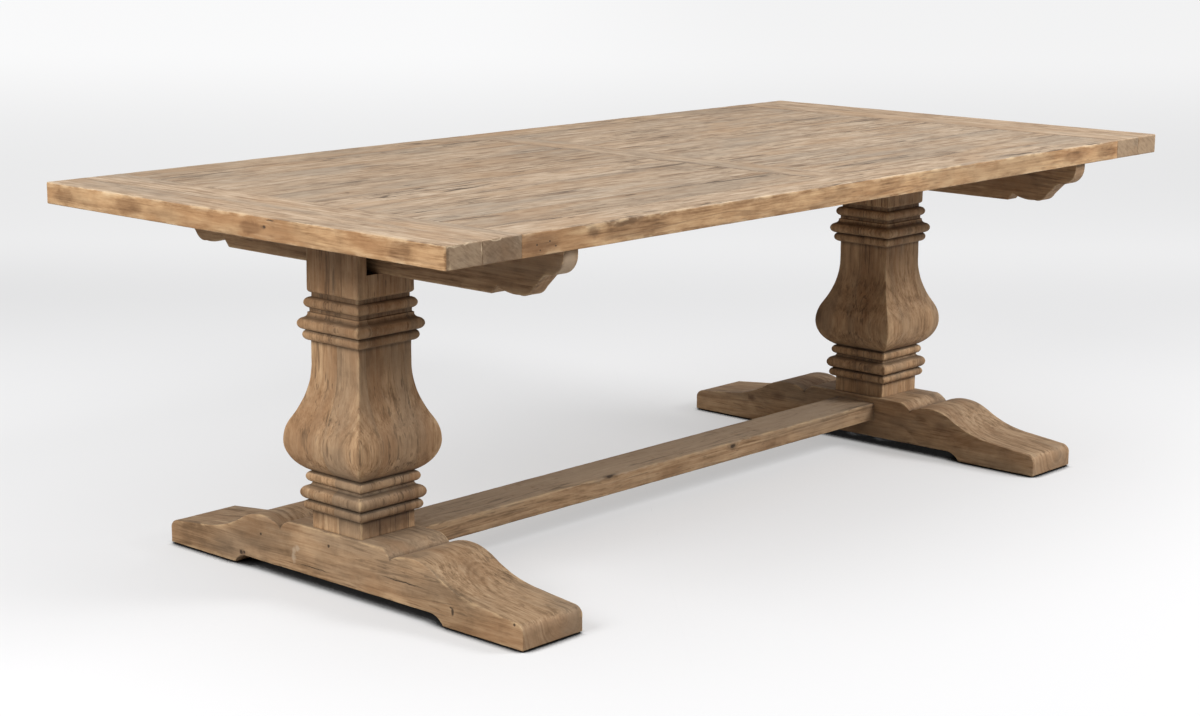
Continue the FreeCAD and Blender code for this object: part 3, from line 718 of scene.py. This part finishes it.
def wood_material(name, palette, dark_marks, knots, pale_marks, shade_marks):
    """Weathered wood: figure, stains, marks, knots, worn arrises, cracks, seams, bump and some painted
    shade.
    """
    material, graph, shader = new_material(name)
    place = graph.place()
    grime = graph.noise(place, *GRIME)
    turn = {"Vector": place, "Angle": SCRATCH_TILT}
    turned = graph.add("VectorRotate", turn, rotation_type="Y_AXIS").outputs[0]
    scratch = graph.noise(turned, *SCRATCH)
    wobble = graph.jitter(place, WOBBLE_REACH, *WOBBLE)
    crisp = graph.moved(place, graph.scaled(wobble, CRISP_SHARE))
    uneven = graph.moved(place, wobble)
    # Knot marks, which on the base include painted shade on the near plinth's front face
    placed_knots_and_shade = marked(graph, uneven, knots, KNOT_AND_SHADE_RIM)
    inputs = {"Grain": graph.attribute("grain"), "Swirl": placed_knots_and_shade}
    out = graph.add("Group", inputs, node_tree=WOOD_FIGURE).outputs
    normal = graph.add("NewGeometry").outputs["Normal"]
    upward = graph.parts(normal)[2]
    along = graph.math("ABSOLUTE", graph.dot(normal, graph.attribute("axis")))
    end_grain = graph.fade(along, *END_GRAIN)
    long_grain = graph.math("SUBTRACT", 1.0, end_grain)
    lightness, warmth, weather = graph.parts(graph.attribute("tone"))
    arris, seam, hollow = graph.parts(graph.attribute("edge"))

    figure = graph.times(graph.math("SUBTRACT", out["Rings"], 0.5), palette["rings"])
    for field in ("Streak", "Mottle", "Fibre"):
        swing = graph.times(graph.math("SUBTRACT", out[field], 0.5), palette[field.lower()])
        figure = graph.math("ADD", figure, graph.times(swing, long_grain))
    figure = graph.math("ADD", figure, 0.5)
    ramp = graph.add("ValToRGB", {"Fac": figure})
    stops = ramp.color_ramp.elements
    stops.new(FIGURE_RAMP[1])
    for stop, position, shade in zip(stops, FIGURE_RAMP, ("dark", "middle", "light")):
        stop.position = position
        stop.color = palette[shade]
    colour = ramp.outputs["Color"]

    def faded(field, edge, name):
        return graph.fade(field, *edge, 0.0, palette[name + "_share"])

    patina = out["Patina"]
    flank = graph.mix(graph.fade(patina, *FLANK_DARK_EDGE), palette["flank"], palette["flank_dark"])
    colours = {**palette, "flank": flank}
    cracks = graph.times(graph.math("MAXIMUM", out["Cracks"], out["Splits"]), weather)
    cracks = graph.times(cracks, long_grain)
    cracks = graph.times(cracks, graph.fade(upward, *FLANK_EDGE, 1.0, palette["flank_cracks"]))
    pits = graph.math("MAXIMUM", cracks, marked(graph, crisp, dark_marks))
    knots_and_marked_shade = graph.math("MAXIMUM", out["Knots"], placed_knots_and_shade)
    layers = (
        ("MIX", faded(out["Stain"], STAIN_EDGE, "grey"), "grey"),
        ("MIX", faded(patina, PATINA_EDGE, "brown"), "brown"),
        ("MIX", graph.times(long_grain, faded(out["Smudge"], SMUDGE_EDGE, "smudge")), "smudge"),
        ("MULTIPLY", graph.times(long_grain, faded(upward, FLANK_EDGE, "flank")), "flank"),
        ("MULTIPLY", warmth, "warm"),
        ("MULTIPLY", graph.fade(upward, *CROWN_EDGE), "crown"),
        ("MULTIPLY", graph.times(end_grain, palette["end_share"]), "end"),
        ("MULTIPLY", faded(grime, GRIME_EDGE, "grime"), "shade"),
        ("MULTIPLY", graph.times(end_grain, faded(scratch, SCRATCH_EDGE, "scratch")), "shade"),
        # Shade marks; on the base those on the near pedestal's head and neck and the near bearer's side are
        # painted shade
        ("MULTIPLY", marked(graph, uneven, shade_marks, SHADE_RIM), "shade"),
        # Pale marks; on the base one is a painted highlight on the near bearer's corbel end
        ("MIX", graph.times(marked(graph, uneven, pale_marks), PALE_SHARE), "pale"),
        # Knot colour, which on the base also paints shade on the near plinth's front face
        ("MIX", graph.times(knots_and_marked_shade, KNOT_AND_SHADE_SHARE), "knot_and_shade"),
        ("MIX", graph.times(arris, faded(out["Mottle"], WORN_EDGE, "arris")), "arris"),
        ("MIX", graph.times(pits, PIT_SHARE), "crack"),
        # Painted shade in the hollows of mouldings and of the feet's upper outline, in the seam colour
        ("MIX", graph.times(hollow, palette["hollow_share"]), "seam"),
        ("MIX", seam, "seam"),
    )
    for blend, factor, layer in layers:
        colour = graph.mix(factor, colour, colours[layer], blend)
    bright = graph.add("HueSaturation", {"Value": lightness, "Color": colour})
    height = graph.math("ADD", figure, graph.times(out["Fibre"], FIBRE_RELIEF))
    height = graph.math("SUBTRACT", height, pits)
    relief = {"Height": height, "Strength": BUMP_STRENGTH, "Distance": BUMP_HEIGHT}
    graph.fill(shader, {
        "Base Color": bright.outputs["Color"],
        "Roughness": graph.fade(figure, *ROUGH_FIGURE, *WOOD_ROUGHNESS),
        "Specular IOR Level": WOOD_SPECULAR,
        "Normal": graph.add("Bump", relief).outputs["Normal"],
    })
    return material


# Colours and shares of the top's wood and of the base's; a colour without srgb multiplies what is under it
PALETTE_ROWS = (
    ("rings", 0.16, 0.40), ("streak", 0.42, 0.38), ("mottle", 0.42, 0.30), ("fibre", 0.30, 0.26),
    ("dark", srgb(128, 106, 85), srgb(122, 95, 68)),
    ("middle", srgb(174, 152, 129), srgb(174, 142, 109)),
    ("light", srgb(197, 179, 157), srgb(200, 170, 136)),
    ("grey", srgb(152, 139, 124), srgb(150, 130, 108)), ("grey_share", 0.55, 0.6),
    ("brown", srgb(166, 137, 108), srgb(150, 115, 83)), ("brown_share", 0.45, 0.5),
    ("smudge", srgb(124, 104, 84), srgb(112, 88, 65)), ("smudge_share", 0.5, 0.35),
    ("flank", (1.08, 0.87, 0.61, 1.0), (1.0, 0.95, 0.88, 1.0)), ("flank_share", 0.9, 0.6),
    ("flank_dark", (0.94, 0.72, 0.49, 1.0), (0.92, 0.86, 0.78, 1.0)), ("flank_cracks", 0.35, 0.8),
    ("crown", (1.0, 1.0, 1.0, 1.0), (0.78, 0.81, 0.84, 1.0)),
    ("warm", (1.0, 0.88, 0.74, 1.0), (1.0, 0.86, 0.70, 1.0)),
    ("end", (0.76, 0.74, 0.69, 1.0), (0.70, 0.69, 0.69, 1.0)), ("end_share", 1.0, 0.8),
    # Shade colour: it darkens grime, scratches across end grain and the shade marks, some of them painted
    # shade
    ("shade", (0.67, 0.63, 0.60, 1.0), (0.72, 0.71, 0.70, 1.0)),
    ("grime_share", 0.3, 0.5), ("scratch_share", 0.7, 0.3),
    # The base's knot colour also paints the shade on the near plinth's front face
    ("knot_and_shade", srgb(98, 74, 52), srgb(84, 60, 42)),
    ("crack", srgb(62, 49, 38), srgb(46, 35, 25)),
    ("pale", srgb(206, 184, 154), srgb(187, 165, 140)),
    ("arris", srgb(214, 188, 152), srgb(196, 166, 128)), ("arris_share", 0.5, 0.6),
    # The seam colour also paints the shade in hollows
    ("seam", srgb(58, 46, 36), srgb(44, 34, 26)), ("hollow_share", 0.5, 0.5),
)
TOP_PALETTE = {name: top for name, top, _ in PALETTE_ROWS}
BASE_PALETTE = {name: base for name, _, base in PALETTE_ROWS}
# The mouldings of the pedestals cut across the figure, so it is calmer there than on the feet
PEDESTAL_PALETTE = {**BASE_PALETTE, "rings": 0.22, "streak": 0.24, "mottle": 0.38}
TOP_WOOD = wood_material("top_wood", TOP_PALETTE, *TOP_MARKS)
BASE_WOOD = wood_material("base_wood", BASE_PALETTE, *BASE_MARKS)
PEDESTAL_WOOD = wood_material("pedestal_wood", PEDESTAL_PALETTE, *BASE_MARKS)


# Table top

TOP_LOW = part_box("near_end_outer_board")[0]
PLANKS_PER_BAY = 8
# Top corner, under corner and side of the section that show on a board's outer side
SHOWN = {-1: (1, 2, LOW_U), 1: (0, 3, HIGH_U)}
# Worn places seen along the front top arris, in millimetres: place along X, half length and depth
FRONT_BITES = ((-822, 24, 4), (-758, 40, 3.5), (-690, 34, 4), (-622, 26, 3))
# More worn places: number to the metre, and half lengths and depths in millimetres
BITES_PER_METRE = 7
BITE_HALF_LENGTHS = (10, 45)
BITE_DEPTHS = (0.5, 3.2)
# Pith beside the middle of a board and below it, in millimetres
END_PITH = ((-30, 30), (10, 60))
LONG_PITH = ((-35, 35), (15, 110))
CENTRE_PITH = (12 * MM, TOP_LOW.z - 30 * MM)
# Planks lie up to this many millimetres lower than the end boards
PLANK_DROPS = (0, 0.35)
# Tone of the boards: lightness, warmth and weathering, some of them as a range
END_TONE = ((1.02, 1.07), (0.15, 0.35), 0.35)
LONG_TONE = ((0.95, 1.05), (0.0, 0.3), (0.7, 1.0))
CENTRE_TONE = (1.0, 0.2, 0.4)
# The near bay is darker and warmer towards the back
BACK_DARKER = 0.07
BACK_WARMER = 0.2


def arris_bites(corner, start, end, chance, seen=()):
    """Worn places along one arris: those seen in the photograph and some more."""
    bites = [(corner, *(value * MM for value in bite)) for bite in seen]
    for _ in range(round((end - start) * BITES_PER_METRE)):
        middle = chance.uniform(start, end)
        half_length = chance.uniform(*BITE_HALF_LENGTHS) * MM
        bites.append((corner, middle, half_length, chance.uniform(*BITE_DEPTHS) * MM))
    return bites


def board_edges(outer_side):
    """Corner radii and seam sides of a board, and its top corner that shows, if it has an outer side."""
    radii = [SEAM_RADIUS] * 4
    seams = [LOW_U, HIGH_U]
    if not outer_side:
        return radii, seams, None
    top_corner, under_corner, side = SHOWN[outer_side]
    radii[top_corner] = TOP_ARRIS
    radii[under_corner] = UNDER_ARRIS
    seams.remove(side)
    return radii, seams, top_corner


def drawn_tone(chance, tone):
    """Tone with each range replaced by a value drawn from it."""
    return [chance.uniform(*value) if isinstance(value, tuple) else value for value in tone]


def drawn_pith(chance, middle, low, ranges):
    """Pith drawn at random beside the middle of a board and below it."""
    beside, below = ranges
    return (middle + chance.uniform(*beside) * MM, low - chance.uniform(*below) * MM)


def board_bounds(low, high, grain, drop=0.0):
    """Constant section of a straight board between two corners of its box."""
    across = ACROSS[grain][0]
    return lambda place: (low[across], high[across], low.z, high.z - drop)


def make_end_board(node, outer_side):
    """Cross board of one end; the outer one has rounded corners on its outer side."""
    low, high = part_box(node)

    def bounds_at(place):
        round_in = end_shrink(place, low.y, high.y, CORNER_RADIUS)
        u_low = low.x + round_in * (outer_side < 0)
        u_high = high.x - round_in * (outer_side > 0)
        return (u_low, u_high, low.z, high.z)

    radii, seams, corner = board_edges(outer_side)
    chance = random.Random(node)
    places, bites = (), ()
    if outer_side:
        places = end_places(low.y, high.y, CORNER_RADIUS, STEP)
        bites = arris_bites(corner, low.y, high.y, chance)
    pith = drawn_pith(chance, (low.x + high.x) / 2, low.z, END_PITH)
    Timber(
        node, Y, low.y, high.y, bounds_at, radii, pith, drawn_tone(chance, END_TONE), END_ARRIS,
        places=places, seam_sides=seams, seam_ends=(False, False), bites=bites,
    ).build(TOP_WOOD)


def make_long_board(node, start, end, outer_side=0, seen=()):
    """Board along the table; the side boards show one long face and worn arrises."""
    low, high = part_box(node)
    chance = random.Random(node)
    radii, seams, corner = board_edges(outer_side)
    bites = arris_bites(corner, start, end, chance, seen) if outer_side else ()
    towards_back = max(0.0, (low.y + high.y) / TOP_LOW.y / -2) if start < 0 else 0.0
    bounds_at = board_bounds(low, high, X, chance.uniform(*PLANK_DROPS) * MM)
    pith = drawn_pith(chance, (low.y + high.y) / 2, low.z, LONG_PITH)
    tone = drawn_tone(chance, LONG_TONE)
    tone[0] -= BACK_DARKER * towards_back
    tone[1] += BACK_WARMER * towards_back
    Timber(
        node, X, start, end, bounds_at, radii, pith, tone, seam_sides=seams, bites=bites,
    ).build(TOP_WOOD)


def make_top():
    """All boards of the top."""
    near_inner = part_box("near_end_inner_board")[1].x
    far_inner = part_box("far_end_inner_board")[0].x
    centre_low, centre_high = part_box("centre_cross_board")
    for end, side in (("near", -1), ("far", 1)):
        make_end_board(end + "_end_outer_board", side)
        make_end_board(end + "_end_inner_board", 0)
    make_long_board("front_side_board", near_inner, far_inner, -1, FRONT_BITES)
    make_long_board("back_side_board", near_inner, far_inner, 1)
    front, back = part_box("front_side_board")[1].y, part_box("back_side_board")[0].y
    Timber(
        "centre_cross_board", Y, front, back, board_bounds(centre_low, centre_high, Y),
        [SEAM_RADIUS] * 4, CENTRE_PITH, CENTRE_TONE, seam_sides=(LOW_U, HIGH_U),
    ).build(TOP_WOOD)
    for number in range(1, PLANKS_PER_BAY + 1):
        make_long_board("near_bay_plank_%d" % number, near_inner, centre_low.x)
        make_long_board("far_bay_plank_%d" % number, centre_high.x, far_inner)


# Base

# Counterbores for the screw heads, as in the CAD model
SCREW_SHARES = (0.155, 0.33, 0.52, 0.74)
SCREW_BORE = 16 * MM
SCREW_HEAD_HEIGHT = 4 * MM
COACH_OFFSET = 42 * MM
COACH_BORE = 22 * MM
COACH_SEAT = 36 * MM
# Pith, from the middle of the trestle, and tone of each timber
FOOT_LOOK = ((25 * MM, 40 * MM), (1.0, 0.12, 0.45))
BEARER_LOOK = ((8 * MM, 600 * MM), (0.97, 0.1, 0.5))
CORE_LOOK = ((20 * MM, 15 * MM), (0.98, 0.1, 0.7))
# Pith of the stretcher beside its middle and below it, and its tone
STRETCHER_PITH = (10 * MM, 40 * MM)
STRETCHER_TONE = (0.82, 0.0, 0.5)
# Pith of a stave either way from the middle of the pedestal, in millimetres, and its tone
STAVE_PITH = (-60, 60)
STAVE_TONE = ((0.97, 1.03), (0.0, 0.2), 0.7)
# A stave that reaches further than this past the middle is on its high side
STAVE_SIDE = 60 * MM
STAVES = ("outer_right_stave", "outer_left_stave", "inner_right_stave", "inner_left_stave")
# Hollows darkened with painted shade: how far each side they are looked for, and their full depth
FOOT_HOLLOW = (8 * MM, 5 * MM)
PEDESTAL_HOLLOW = (7 * MM, 4 * MM)
# Length at the ends of feet and bearers that counts as no hollow
CLEAN_END = 20 * MM


def make_outlined(node, plane, middle_x, look, holes):
    """Foot or bearer: a timber across the table whose lower and upper edges follow its CAD outline."""
    low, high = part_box(node)
    outline = side_outline(node, plane)
    pith, tone = look

    @functools.cache
    def bounds_at(place):
        inside = min(max(place, low.y + WELD), high.y - WELD)
        return (low.x, high.x, *crossings(outline, inside))

    def crevice_at(place):
        if abs(place) > high.y - CLEAN_END:
            return 0.0
        return hollow_depth(lambda where: bounds_at(where)[3], place, *FOOT_HOLLOW)

    Timber(
        node, Y, low.y, high.y, bounds_at, [BASE_ARRIS] * 4, (middle_x + pith[0], pith[1]), tone,
        BASE_ARRIS, OUTLINED_STEP, outline_places(outline), seam_ends=(False, False),
        crevice_at=crevice_at, smooth_sides=(LOW_U, LOW_V, HIGH_U), holes=holes,
    ).build(BASE_WOOD)


def make_pedestal(end, middle_x):
    """Core and four staves of a square baluster, following the corner of the CAD staves."""
    outline = corner_outline(end + "_pedestal_" + STAVES[0], middle_x)
    places = outline_places(outline)
    bottom, top = min(places), max(places)

    @functools.cache
    def half_at(place):
        return crossings(outline, min(max(place, bottom), top))[1]

    def crevice_at(place):
        return hollow_depth(half_at, place, *PEDESTAL_HOLLOW)

    core = end + "_pedestal_core"
    core_low, core_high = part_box(core)
    pith, tone = CORE_LOOK
    shared = {"places": places, "step": PEDESTAL_STEP, "crevice_at": crevice_at}
    Timber(
        core, Z, bottom, core_high.z,
        lambda place: (core_low.x, core_high.x, -half_at(place), half_at(place)),
        [STAVE_SEAM_RADIUS] * 4, (middle_x + pith[0], pith[1]), tone, seam_sides=(LOW_U, HIGH_U), **shared,
    ).build(PEDESTAL_WOOD)
    for stave in STAVES:
        make_stave(end + "_pedestal_" + stave, middle_x, half_at, (bottom, top), shared)


def make_stave(node, middle_x, half_at, reach, shared):
    """One stave: its two outer faces follow the baluster, its two inner faces are glue lines."""
    low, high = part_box(node)
    beyond = high.x > middle_x + STAVE_SIDE
    behind = high.y > STAVE_SIDE
    chance = random.Random(node)

    def bounds_at(place):
        half = half_at(place)
        x_range = (low.x, middle_x + half) if beyond else (middle_x - half, high.x)
        y_range = (low.y, half) if behind else (-half, high.y)
        return (*x_range, *y_range)

    outer_corner = (0 if behind else 3) if beyond else (1 if behind else 2)
    radii = [STAVE_SEAM_RADIUS] * 4
    radii[outer_corner] = BASE_ARRIS
    seams = (LOW_U if beyond else HIGH_U, LOW_V if behind else HIGH_V)
    pith = (middle_x + chance.uniform(*STAVE_PITH) * MM, chance.uniform(*STAVE_PITH) * MM)
    Timber(
        node, Z, *reach, bounds_at, radii, pith, drawn_tone(chance, STAVE_TONE), seam_sides=seams, **shared,
    ).build(PEDESTAL_WOOD)


def make_base():
    """Feet, pedestals, bearers and stretcher."""
    for end, outer in (("near", 0), ("far", 1)):
        foot, bearer = end + "_foot", end + "_bearer"
        foot_box, bearer_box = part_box(foot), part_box(bearer)
        middle_x = (foot_box[0].x + foot_box[1].x) / 2
        foot_holes = [((middle_x, side * COACH_OFFSET), COACH_BORE / 2, COACH_SEAT) for side in (-1, 1)]
        screw_ys = [side * share * bearer_box[1].y for share in SCREW_SHARES for side in (-1, 1)]
        screw_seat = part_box(end + "_top_screws")[0].z + SCREW_HEAD_HEIGHT
        bearer_holes = [((middle_x, y), SCREW_BORE / 2, screw_seat) for y in screw_ys]
        make_outlined(foot, foot_box[outer].x, middle_x, FOOT_LOOK, foot_holes)
        make_outlined(bearer, bearer_box[outer].x, middle_x, BEARER_LOOK, bearer_holes)
        make_pedestal(end, middle_x)
    low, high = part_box("stretcher")
    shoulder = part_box("far_foot")[0].x
    Timber(
        "stretcher", X, -shoulder, shoulder, board_bounds(low, high, X), [BASE_ARRIS] * 4,
        (STRETCHER_PITH[0], low.z - STRETCHER_PITH[1]), STRETCHER_TONE,
    ).build(BASE_WOOD)


make_top()
make_base()


# Fixings and pads that stay as they are in the CAD model

# Features per metre, the two colours and their roughnesses, and how metallic
ZINC_STEEL = ((300, 300, 60), srgb(120, 120, 122), srgb(178, 178, 176), (0.35, 0.55), 1)
PAD_RUBBER = ((700, 700, 700), srgb(22, 20, 18), srgb(44, 40, 36), (0.95, 0.8), 0)
PEG_WOOD = ((900, 900, 60), srgb(96, 70, 46), srgb(160, 124, 88), (0.85, 0.7), 0)
SPECKLE_DETAIL = 3.0
SPECKLE_ROUGHNESS = 0.5
SPECKLE_EDGE = (0.3, 0.7)


def speckled(name, scale, first, second, roughness, metallic):
    """Material with a fine speckle or streak between two colours."""
    material, graph, shader = new_material(name)
    speckle = graph.noise(graph.place(), scale, SPECKLE_DETAIL, SPECKLE_ROUGHNESS)
    graph.fill(shader, {
        "Base Color": graph.mix(speckle, first, second),
        "Roughness": graph.fade(speckle, *SPECKLE_EDGE, *roughness),
        "Metallic": metallic,
    })
    return material


def dress_nodes():
    """Materials of the CAD nodes that stay."""
    by_ending = {
        "_screws": speckled("zinc_steel", *ZINC_STEEL),
        "_pad": speckled("pad_rubber", *PAD_RUBBER),
        "_pegs": speckled("peg_wood", *PEG_WOOD),
    }
    for node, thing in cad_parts.items():
        for ending, material in by_ending.items():
            if node.endswith(ending):
                thing.data.materials.clear()
                thing.data.materials.append(material)


dress_nodes()


# Stage, light and camera

# The camera sees the floor paler, and its shadows softer, than the table does
FLOOR_COLOUR = (0.71, 0.71, 0.72, 1.0)
FLOOR_BOUNCE = (0.36, 0.36, 0.36, 1.0)
FLOOR_ROUGHNESS = 0.9
FLOOR_SPECULAR = 0.1
FLOOR_GLOW_SHARE = 0.42
FLOOR_HALF = 40.0
WHITE = (1.0, 1.0, 1.0, 1.0)
# Painted contact shadow under the feet: its colour, reach and the openness between which it fades out
CONTACT_COLOUR = (0.04, 0.04, 0.04, 1.0)
CONTACT_REACH = 0.036
CONTACT_FADE = (0.45, 0.77)
CONTACT_SAMPLES = 8
# Direction away across the floor, and how far along it the backdrop dips into painted shadow and clears
# again
AWAY = (0.741, 0.671, 0.0)
BACKDROP_SHADOW_DIP = ((0.6, 0.98), (2.4, 0.84), (3.8, 1.08), (13.0, 1.50))
# Direction towards the left of the picture, how far along it the floor gets paler, and by how much
LEFTWARD = (-0.671, 0.741, 0.0)
LEFT_REACH = 1.8
LEFT_GAIN = 0.045
# Strength of the dome at two heights
DOME_HEIGHTS = (0.05, 0.95)
DOME_STRENGTHS = (0.18, 0.92)
# The photograph's camera, solved from the straight edges of the table: place, and yaw, pitch and roll
CAMERA_PLACE = (-3.8400, -3.3276, 1.3983)
CAMERA_DEGREES = (42.183, -11.885, 0.379)
CAMERA_LENS = 70.25
CAMERA_SENSOR = 36.0
CAMERA_CLIP = 200.0


def make_stage():
    """Pale floor that runs past the edges of the picture, with painted shadow behind the table and under
    the feet.
    """
    mesh = bpy.data.meshes.new("floor")
    half = FLOOR_HALF
    corners = [(-half, -half, 0), (half, -half, 0), (half, half, 0), (-half, half, 0)]
    mesh.from_pydata(corners, [], [(0, 1, 2, 3)])
    material, graph, shader = new_material("floor_paint")
    path = graph.add("LightPath").outputs
    mirrored = graph.math("MAXIMUM", path["Is Glossy Ray"], path["Is Transmission Ray"])
    seen = graph.math("MAXIMUM", path["Is Camera Ray"], mirrored)
    openness = graph.add("AmbientOcclusion", {"Distance": CONTACT_REACH}, samples=CONTACT_SAMPLES)
    contact = graph.fade(openness.outputs["AO"], *CONTACT_FADE)
    pale = graph.mix(contact, CONTACT_COLOUR, FLOOR_COLOUR)
    graph.fill(shader, {
        "Base Color": graph.mix(seen, FLOOR_BOUNCE, pale),
        "Roughness": FLOOR_ROUGHNESS,
        "Specular IOR Level": FLOOR_SPECULAR,
    })
    place = graph.place()
    # Floor level, with a painted shadow of the table where it dips
    away = graph.dot(place, AWAY)
    level = BACKDROP_SHADOW_DIP[0][1]
    for (start, first), (end, second) in zip(BACKDROP_SHADOW_DIP, BACKDROP_SHADOW_DIP[1:]):
        level = graph.math("ADD", level, graph.fade(away, start, end, 0.0, second - first))
    left = graph.dot(place, LEFTWARD)
    gain = graph.fade(left, -LEFT_REACH, LEFT_REACH, 1 - LEFT_GAIN, 1 + LEFT_GAIN)
    # The painted contact shadow also dims the glow
    level = graph.times(graph.times(level, gain), contact)
    glow = graph.add("Emission", {"Color": WHITE, "Strength": level})
    share = graph.times(seen, FLOOR_GLOW_SHARE)
    mixed = graph.add("MixShader", {0: share, 1: shader.outputs[0], 2: glow.outputs[0]})
    graph.fill(graph.tree.nodes["Material Output"], {"Surface": mixed.outputs[0]})
    mesh.materials.append(material)
    added("floor", mesh)


def add_lamp(name, place, target, size, energy):
    """Square soft lamp that looks at a point."""
    lamp = bpy.data.lights.new(name, "AREA")
    lamp.size = size
    lamp.energy = energy
    thing = added(name, lamp)
    thing.location = place
    thing.rotation_euler = (Vector(target) - Vector(place)).to_track_quat("-Z", "Y").to_euler()


def make_light():
    """Dome that is brighter overhead, a large lamp at the left and a smaller one at the right."""
    world = bpy.data.worlds.new("studio")
    bpy.context.scene.world = world
    world.use_nodes = True
    graph = Graph(world.node_tree)
    height = graph.parts(graph.add("TexCoord").outputs["Generated"])[2]
    strength = graph.fade(height, *DOME_HEIGHTS, *DOME_STRENGTHS)
    graph.fill(graph.tree.nodes["Background"], {"Color": WHITE, "Strength": strength})
    add_lamp("key", place=(-4.8, 0.2, 3.0), target=(-0.5, 0.0, 0.3), size=2.4, energy=174.0)
    add_lamp("fill", place=(2.6, -3.8, 3.4), target=(0.5, 0.0, 0.4), size=1.8, energy=215.0)


def make_camera():
    """Camera at the photograph's place."""
    yaw, pitch, roll = map(math.radians, CAMERA_DEGREES)
    turn = Matrix.Rotation(yaw - math.pi / 2, 4, "Z") @ Matrix.Rotation(pitch + math.pi / 2, 4, "X")
    lens = bpy.data.cameras.new("camera")
    lens.sensor_fit = "HORIZONTAL"
    lens.sensor_width = CAMERA_SENSOR
    lens.lens = CAMERA_LENS
    lens.clip_end = CAMERA_CLIP
    camera = added("camera", lens)
    camera.matrix_world = Matrix.Translation(CAMERA_PLACE) @ turn @ Matrix.Rotation(roll, 4, "Z")
    bpy.context.scene.camera = camera


make_stage()
make_light()
make_camera()
bpy.context.scene.view_settings.view_transform = "Standard"
